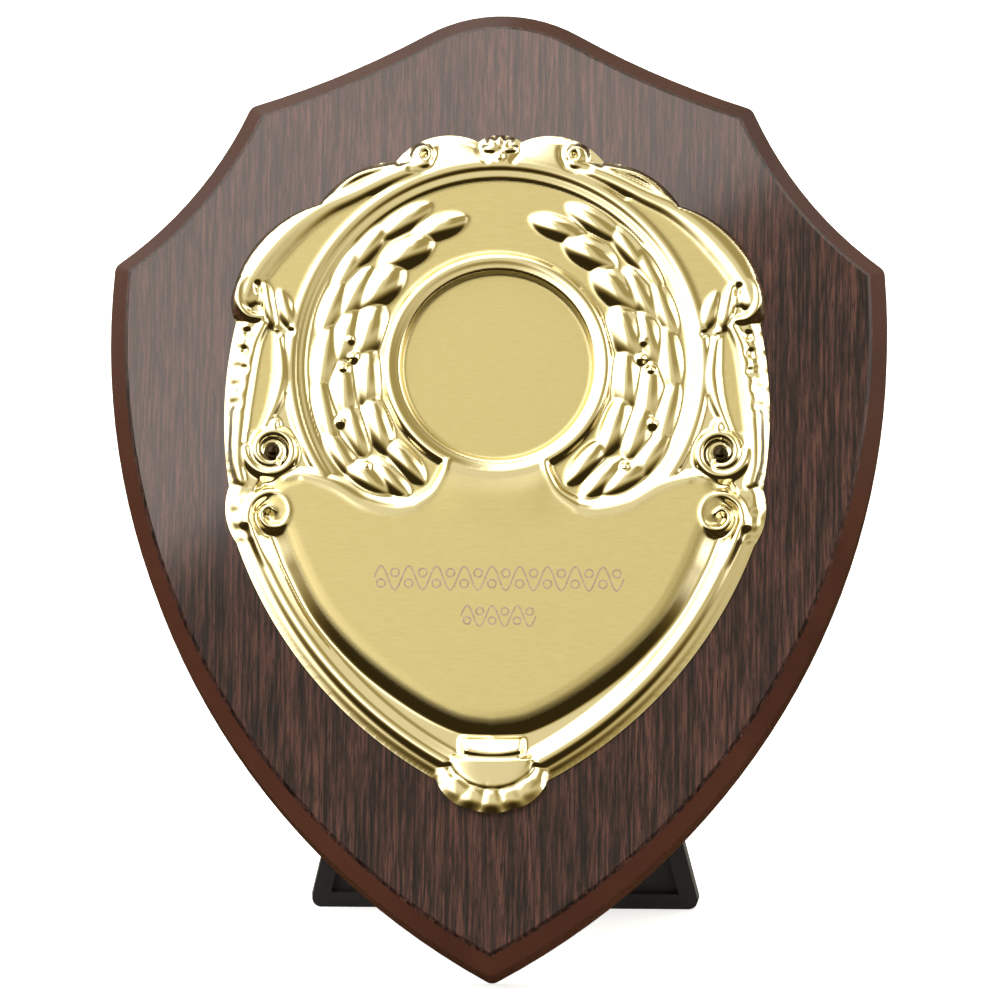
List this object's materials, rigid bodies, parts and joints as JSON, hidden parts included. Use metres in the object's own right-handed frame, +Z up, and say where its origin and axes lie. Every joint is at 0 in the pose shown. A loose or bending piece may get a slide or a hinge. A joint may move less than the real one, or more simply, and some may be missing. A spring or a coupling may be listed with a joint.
{
  "type": "shield plaque",
  "caption": "Shield-shaped wood board award with a bevelled edge, an embossed gilt metal front with a round centre recess, and a folding black strut behind it.",
  "frame": {"origin": "on the floor under the middle of the bounding box, with the strut open", "axes": "+Z up, +X to the right as seen from the front, the engraved front faces -Y and leans back"},
  "size_m": [0.1004, 0.0578, 0.1202],
  "materials": {
    "edge_paint": "glossy brown lacquer over pressed fibre board",
    "walnut_veneer": "dark reddish-brown walnut grain, satin lacquer",
    "back_paper": "dark brown paper laminate, matt",
    "gilt_metal": "bright gilt, polished relief with satin fields",
    "pin_bronze": "dark bronzed, polished dome",
    "strut_plastic": "black moulded plastic, fine matt texture",
    "screw_steel": "zinc plated",
    "pin_steel": "drawn wire"
  },
  "bodies": {
    "board": {"board_core": "edge_paint", "front_veneer": "walnut_veneer", "back_laminate": "back_paper", "metal_front": "gilt_metal", "front_pins": "pin_bronze", "strut_plate": "strut_plastic", "strut_screws": "screw_steel", "hinge_pin": "pin_steel"},
    "strut": {"strut_leg": "strut_plastic"}
  },
  "joints": [
    {"name": "strut_fold", "type": "hinge", "parent": "board", "child": "strut", "pos_m": [0, 0.00904, 0.0656], "axis": [1, 0, 0], "range_deg": [-36.6, 0]}
  ]
}
